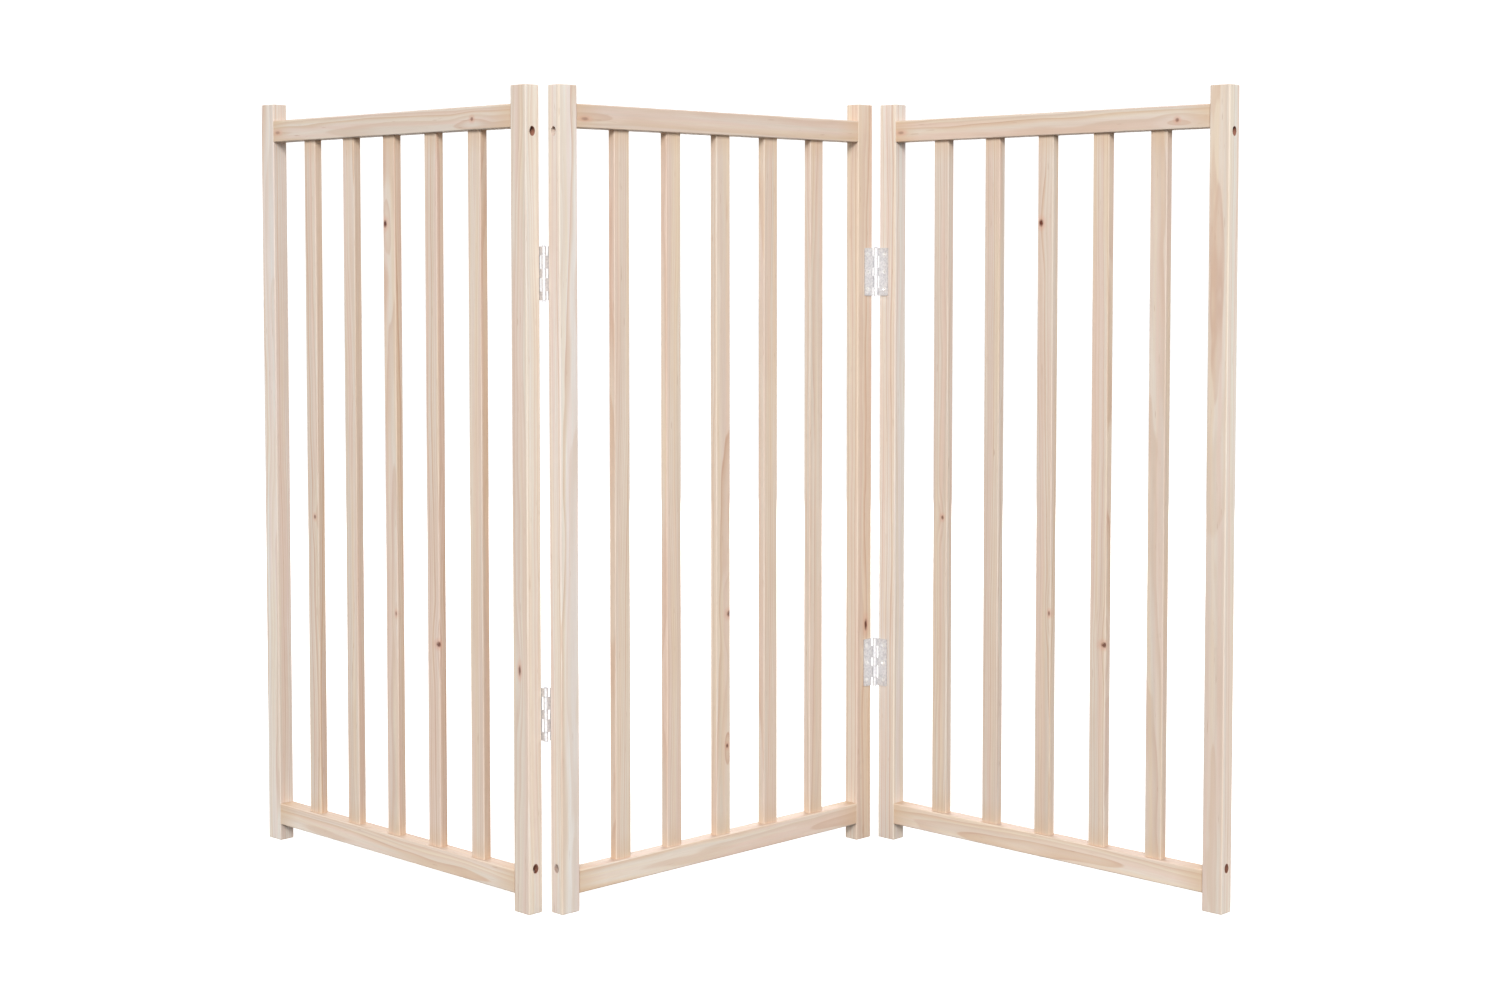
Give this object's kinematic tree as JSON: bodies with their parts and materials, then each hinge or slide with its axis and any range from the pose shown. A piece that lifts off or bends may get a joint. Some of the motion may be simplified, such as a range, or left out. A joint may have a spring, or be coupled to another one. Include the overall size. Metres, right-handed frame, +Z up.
{
  "type": "folding pet gate",
  "caption": "Free-standing wooden pet gate: slatted panels of posts, rails and upright slats, joined by butt hinges so they fold in a zigzag or stand open in a line.",
  "frame": {"origin": "on the floor, in the middle of the gate's outline seen from above, which is the middle of the middle panel", "axes": "+X along the gate's width, +Y from the front to the back, +Z up"},
  "size_m": [1.1316, 0.362, 0.91],
  "materials": {
    "fir": "planed and sanded, unvarnished",
    "zinc": "bright zinc plated",
    "screw": "bright zinc plated"
  },
  "bodies": {
    "middle_panel": {"middle_panel_left_post": "fir", "middle_panel_right_post": "fir", "middle_panel_top_rail": "fir", "middle_panel_bottom_rail": "fir", "middle_panel_slat_1": "fir", "middle_panel_slat_2": "fir", "middle_panel_slat_3": "fir", "middle_panel_slat_4": "fir", "middle_panel_slat_5": "fir", "middle_panel_top_left_screw": "screw", "middle_panel_top_right_screw": "screw", "middle_panel_bottom_left_screw": "screw", "middle_panel_bottom_right_screw": "screw", "left_upper_hinge_middle_leaf": "zinc", "left_lower_hinge_middle_leaf": "zinc", "right_upper_hinge_middle_leaf": "zinc", "right_lower_hinge_middle_leaf": "zinc"},
    "left_panel": {"left_panel_left_post": "fir", "left_panel_right_post": "fir", "left_panel_top_rail": "fir", "left_panel_bottom_rail": "fir", "left_panel_slat_1": "fir", "left_panel_slat_2": "fir", "left_panel_slat_3": "fir", "left_panel_slat_4": "fir", "left_panel_slat_5": "fir", "left_panel_top_left_screw": "screw", "left_panel_top_right_screw": "screw", "left_panel_bottom_left_screw": "screw", "left_panel_bottom_right_screw": "screw", "left_upper_hinge_left_leaf": "zinc", "left_upper_hinge_pin": "zinc", "left_lower_hinge_left_leaf": "zinc", "left_lower_hinge_pin": "zinc"},
    "right_panel": {"right_panel_left_post": "fir", "right_panel_right_post": "fir", "right_panel_top_rail": "fir", "right_panel_bottom_rail": "fir", "right_panel_slat_1": "fir", "right_panel_slat_2": "fir", "right_panel_slat_3": "fir", "right_panel_slat_4": "fir", "right_panel_slat_5": "fir", "right_panel_top_left_screw": "screw", "right_panel_top_right_screw": "screw", "right_panel_bottom_left_screw": "screw", "right_panel_bottom_right_screw": "screw", "right_upper_hinge_right_leaf": "zinc", "right_upper_hinge_pin": "zinc", "right_lower_hinge_right_leaf": "zinc", "right_lower_hinge_pin": "zinc"}
  },
  "joints": [
    {"name": "left_fold", "type": "hinge", "parent": "middle_panel", "child": "left_panel", "pos_m": [-0.19034, -0.16806, 0.4], "axis": [0, 0, 1], "range_deg": [-91.4, 106]},
    {"name": "right_fold", "type": "hinge", "parent": "middle_panel", "child": "right_panel", "pos_m": [0.19034, 0.16806, 0.4], "axis": [0, 0, 1], "range_deg": [-91.4, 106]}
  ]
}
